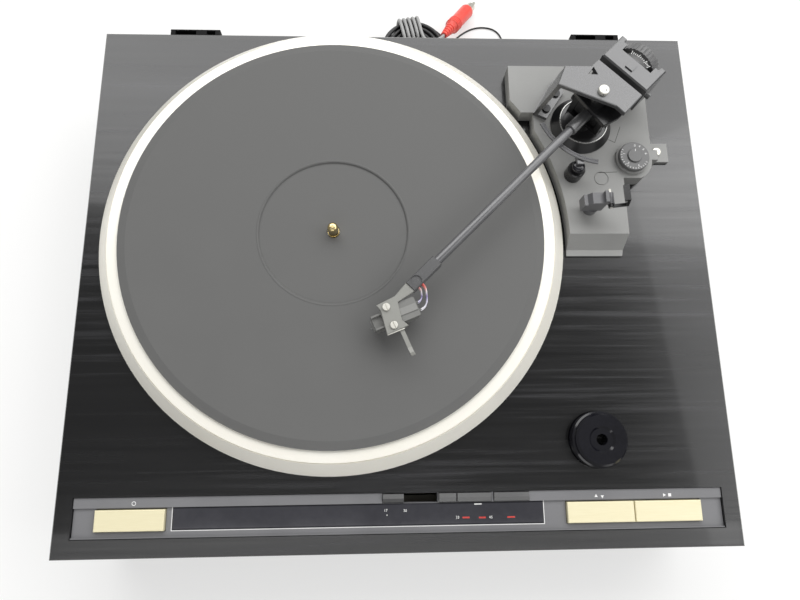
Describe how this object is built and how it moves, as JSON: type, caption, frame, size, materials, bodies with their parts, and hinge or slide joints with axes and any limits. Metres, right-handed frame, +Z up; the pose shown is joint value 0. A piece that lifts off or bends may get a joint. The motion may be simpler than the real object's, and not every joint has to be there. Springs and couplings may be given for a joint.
{
  "type": "turntable",
  "caption": "Direct-drive record player: gloss black plinth, matted alloy platter, straight gimbal tonearm with rest and cue lifter, push keys, loose single adaptor, wound cords",
  "frame": {"origin": "Middle of the plinth's footprint, hinge sockets included, on the plane under the feet.", "axes": "+X to the right along the front panel, +Y to the rear, +Z up."},
  "size_m": [0.45, 0.489, 0.1559],
  "materials": {
    "black_veneer": "gloss black wood-grain film",
    "cover_board": "plain hardboard",
    "black_screw": "blackened",
    "black_plastic": "satin",
    "pad_rubber": "matte",
    "plated_steel": "zinc plated",
    "copper_winding": "enamelled copper",
    "bearing_brass": "turned",
    "spindle_steel": "polished",
    "magnet_iron": "sintered",
    "platter_alloy": "turned, satin",
    "mat_rubber": "moulded, matte",
    "panel_plastic": "satin charcoal",
    "window_acrylic": "smoked, polished",
    "lamp_red": "tinted lens",
    "board_green": "laminate",
    "key_plastic": "satin",
    "champagne_cap": "champagne, satin",
    "adaptor_gloss": "polished black",
    "base_plastic": "fine grain",
    "bright_screw": "polished",
    "dial_black": "satin with pale figures",
    "pillar_black": "satin black",
    "bright_ring": "turned",
    "gimbal_black": "satin black",
    "tube_black": "semi-gloss black",
    "shell_black": "fine grain black",
    "cartridge_black": "moulded",
    "stylus_grey": "moulded",
    "lead_coloured": "coloured insulation",
    "cord_black": "satin insulation",
    "cord_grey": "satin insulation",
    "plug_red": "moulded"
  },
  "bodies": {
    "base": {"arm_base": "base_plastic", "arm_drive_unit": "black_plastic", "arm_pillar": "pillar_black", "arm_rest": "gimbal_black", "arm_screws": "bright_screw", "bearing_sleeve": "bearing_brass", "bottom_cover": "cover_board", "cabinet": "black_veneer", "circuit_boards": "board_green", "clip_pin": "bright_screw", "control_panel": "panel_plastic", "cord_glands": "cord_black", "cue_cylinder": "pillar_black", "display_window": "window_acrylic", "ep_adaptor": "adaptor_gloss", "feet": "black_plastic", "foot_pads": "pad_rubber", "gimbal_frame": "gimbal_black", "ground_wire": "cord_black", "hinge_sockets": "black_plastic", "indicator_lamps": "lamp_red", "mains_cord": "cord_black", "mains_plug": "cord_black", "motor_coils": "copper_winding", "motor_housing": "plated_steel", "pillar_rim": "bright_ring", "screws": "black_screw", "signal_lead": "cord_grey", "signal_plug": "plug_red", "top_pivot_screw": "bright_screw", "transformer": "plated_steel"},
    "platter_body": {"spindle": "spindle_steel", "motor_rotor": "magnet_iron", "platter": "platter_alloy", "platter_mat": "mat_rubber"},
    "arm_yoke": {"gimbal_ring": "gimbal_black", "side_pivots": "bright_screw", "shutter_disc": "black_plastic"},
    "tonearm": {"bearing_block": "gimbal_black", "arm_sleeve": "gimbal_black", "arm_tube": "tube_black", "arm_collar": "gimbal_black", "headshell": "shell_black", "cartridge": "cartridge_black", "stylus_assembly": "stylus_grey", "headshell_screws": "bright_screw", "finger_lift": "shell_black", "cartridge_leads": "lead_coloured", "weight_block": "gimbal_black"},
    "force_wheel": {"force_dial": "dial_black"},
    "cue_bar": {"cue_lifter": "pillar_black"},
    "skate_dial": {"anti_skate_dial": "dial_black"},
    "clip": {"rest_clip": "gimbal_black"},
    "power_cap": {"power_button": "champagne_cap"},
    "up_down_cap": {"up_down_button": "champagne_cap"},
    "start_cut_cap": {"start_cut_button": "champagne_cap"},
    "mode_cap": {"mode_key": "key_plastic"},
    "speed_cap": {"speed_key": "key_plastic"},
    "repeat_cap": {"repeat_key": "key_plastic"},
    "size_grip": {"size_slider": "key_plastic"}
  },
  "joints": [
    {"name": "platter_spin", "type": "hinge", "parent": "base", "child": "platter_body", "pos_m": [-0.047, 0.02, 0.105], "axis": [0, 0, 1], "continuous": true},
    {"name": "arm_swing", "type": "hinge", "parent": "base", "child": "arm_yoke", "pos_m": [0.1347, 0.1043, 0.131], "axis": [0, 0, 1], "range_deg": [-4, 46.3]},
    {"name": "arm_tilt", "type": "hinge", "parent": "arm_yoke", "child": "tonearm", "pos_m": [0.1347, 0.1043, 0.131], "axis": [-0.7046, 0.7096, 0], "range_deg": [-0.4, 6]},
    {"name": "force_set", "type": "hinge", "parent": "tonearm", "child": "force_wheel", "pos_m": [0.16663, 0.13601, 0.131], "axis": [0.7096, 0.7046, 0], "range_deg": [0, 300]},
    {"name": "cue_lift", "type": "slide", "parent": "base", "child": "cue_bar", "axis": [0, 0, 1], "range_m": [-0.0003, 0.0038]},
    {"name": "skate_set", "type": "hinge", "parent": "base", "child": "skate_dial", "pos_m": [0.1706, 0.0776, 0.111], "axis": [0, 0, 1], "range_deg": [0, 270]},
    {"name": "clip_turn", "type": "hinge", "parent": "base", "child": "clip", "pos_m": [0.14455, 0.03928, 0.125], "axis": [-0.0192, 0.9998, 0], "range_deg": [-75, 0]},
    {"name": "power_push", "type": "slide", "parent": "base", "child": "power_cap", "axis": [0, 0, -1], "range_m": [0, 0.0015], "stiffness_N_per_m": 300},
    {"name": "up_down_push", "type": "slide", "parent": "base", "child": "up_down_cap", "axis": [0, 0, -1], "range_m": [0, 0.0015], "stiffness_N_per_m": 300},
    {"name": "start_cut_push", "type": "slide", "parent": "base", "child": "start_cut_cap", "axis": [0, 0, -1], "range_m": [0, 0.0015], "stiffness_N_per_m": 300},
    {"name": "mode_push", "type": "slide", "parent": "base", "child": "mode_cap", "axis": [0, 0, -1], "range_m": [0, 0.001], "stiffness_N_per_m": 300},
    {"name": "speed_push", "type": "slide", "parent": "base", "child": "speed_cap", "axis": [0, 0, -1], "range_m": [0, 0.001], "stiffness_N_per_m": 300},
    {"name": "repeat_push", "type": "slide", "parent": "base", "child": "repeat_cap", "axis": [0, 0, -1], "range_m": [0, 0.001], "stiffness_N_per_m": 300},
    {"name": "size_slide", "type": "slide", "parent": "base", "child": "size_grip", "axis": [1, 0, 0], "range_m": [0, 0.0125]}
  ],
  "couplings": [
    {"joint": "cue_lift", "follows": "arm_tilt", "m_per_rad": 0.0355}
  ]
}
